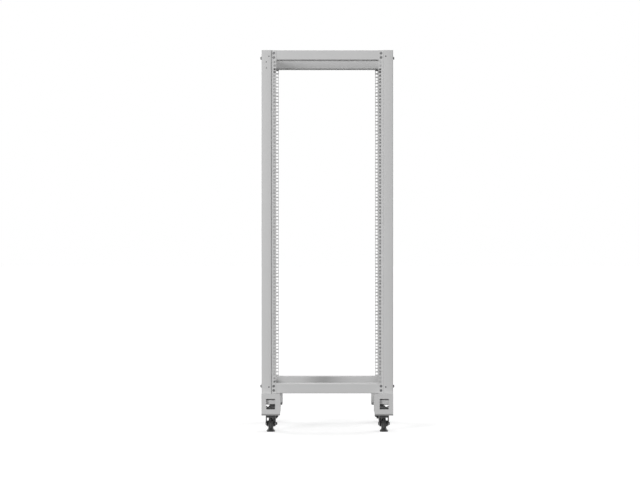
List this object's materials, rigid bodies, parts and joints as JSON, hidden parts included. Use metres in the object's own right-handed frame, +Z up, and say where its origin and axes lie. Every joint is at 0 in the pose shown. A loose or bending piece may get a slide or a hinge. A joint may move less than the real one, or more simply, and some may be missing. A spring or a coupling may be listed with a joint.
{
  "type": "four post open frame rack",
  "caption": "Open steel equipment rack with four folded posts, square rail holes, top and bottom beams, foot brackets and levelling swivel casters.",
  "frame": {"origin": "on the floor, midway between the four casters", "axes": "+Z up, -Y to the front of the rack, +X to the right seen from the front"},
  "size_m": [0.58, 0.64, 1.684],
  "materials": {
    "frame_paint": "fine textured light grey powder coat",
    "caster_black": "satin black coat on die cast metal",
    "caster_steel": "blackened steel",
    "wheel_nylon": "moulded black nylon",
    "foot_black": "moulded black pad on a steel screw"
  },
  "bodies": {
    "frame": {"front_left_post": "frame_paint", "front_left_foot_bracket": "frame_paint", "front_left_caster_plate": "caster_black", "rear_left_post": "frame_paint", "rear_left_foot_bracket": "frame_paint", "rear_left_caster_plate": "caster_black", "front_right_post": "frame_paint", "front_right_foot_bracket": "frame_paint", "front_right_caster_plate": "caster_black", "rear_right_post": "frame_paint", "rear_right_foot_bracket": "frame_paint", "rear_right_caster_plate": "caster_black", "front_top_beam": "frame_paint", "rear_top_beam": "frame_paint", "left_top_side_beam": "frame_paint", "right_top_side_beam": "frame_paint", "front_bottom_beam": "frame_paint", "rear_bottom_beam": "frame_paint", "left_bottom_side_beam": "frame_paint", "right_bottom_side_beam": "frame_paint"},
    "front_left_fork": {"front_left_caster_fork": "caster_black", "front_left_caster_axle": "caster_steel"},
    "front_left_wheel": {"front_left_caster_wheel": "wheel_nylon"},
    "front_left_foot": {"front_left_caster_foot": "foot_black"},
    "rear_left_fork": {"rear_left_caster_fork": "caster_black", "rear_left_caster_axle": "caster_steel"},
    "rear_left_wheel": {"rear_left_caster_wheel": "wheel_nylon"},
    "rear_left_foot": {"rear_left_caster_foot": "foot_black"},
    "front_right_fork": {"front_right_caster_fork": "caster_black", "front_right_caster_axle": "caster_steel"},
    "front_right_wheel": {"front_right_caster_wheel": "wheel_nylon"},
    "front_right_foot": {"front_right_caster_foot": "foot_black"},
    "rear_right_fork": {"rear_right_caster_fork": "caster_black", "rear_right_caster_axle": "caster_steel"},
    "rear_right_wheel": {"rear_right_caster_wheel": "wheel_nylon"},
    "rear_right_foot": {"rear_right_caster_foot": "foot_black"}
  },
  "joints": [
    {"name": "front_left_swivel", "type": "hinge", "parent": "frame", "child": "front_left_fork", "pos_m": [-0.25, -0.27, 0.0966], "axis": [0, 0, 1], "continuous": true},
    {"name": "front_left_wheel_spin", "type": "hinge", "parent": "front_left_fork", "child": "front_left_wheel", "pos_m": [-0.25, -0.222, 0.0315], "axis": [1, 0, 0], "continuous": true},
    {"name": "front_left_foot_screw", "type": "slide", "parent": "front_left_fork", "child": "front_left_foot", "axis": [0, 0, 1], "range_m": [-0.003, 0.014]},
    {"name": "rear_left_swivel", "type": "hinge", "parent": "frame", "child": "rear_left_fork", "pos_m": [-0.25, 0.27, 0.0966], "axis": [0, 0, 1], "continuous": true},
    {"name": "rear_left_wheel_spin", "type": "hinge", "parent": "rear_left_fork", "child": "rear_left_wheel", "pos_m": [-0.25, 0.222, 0.0315], "axis": [1, 0, 0], "continuous": true},
    {"name": "rear_left_foot_screw", "type": "slide", "parent": "rear_left_fork", "child": "rear_left_foot", "axis": [0, 0, 1], "range_m": [-0.017, 0]},
    {"name": "front_right_swivel", "type": "hinge", "parent": "frame", "child": "front_right_fork", "pos_m": [0.25, -0.27, 0.0966], "axis": [0, 0, 1], "continuous": true},
    {"name": "front_right_wheel_spin", "type": "hinge", "parent": "front_right_fork", "child": "front_right_wheel", "pos_m": [0.25, -0.222, 0.0315], "axis": [1, 0, 0], "continuous": true},
    {"name": "front_right_foot_screw", "type": "slide", "parent": "front_right_fork", "child": "front_right_foot", "axis": [0, 0, 1], "range_m": [-0.003, 0.014]},
    {"name": "rear_right_swivel", "type": "hinge", "parent": "frame", "child": "rear_right_fork", "pos_m": [0.25, 0.27, 0.0966], "axis": [0, 0, 1], "continuous": true},
    {"name": "rear_right_wheel_spin", "type": "hinge", "parent": "rear_right_fork", "child": "rear_right_wheel", "pos_m": [0.25, 0.222, 0.0315], "axis": [1, 0, 0], "continuous": true},
    {"name": "rear_right_foot_screw", "type": "slide", "parent": "rear_right_fork", "child": "rear_right_foot", "axis": [0, 0, 1], "range_m": [-0.017, 0]}
  ]
}
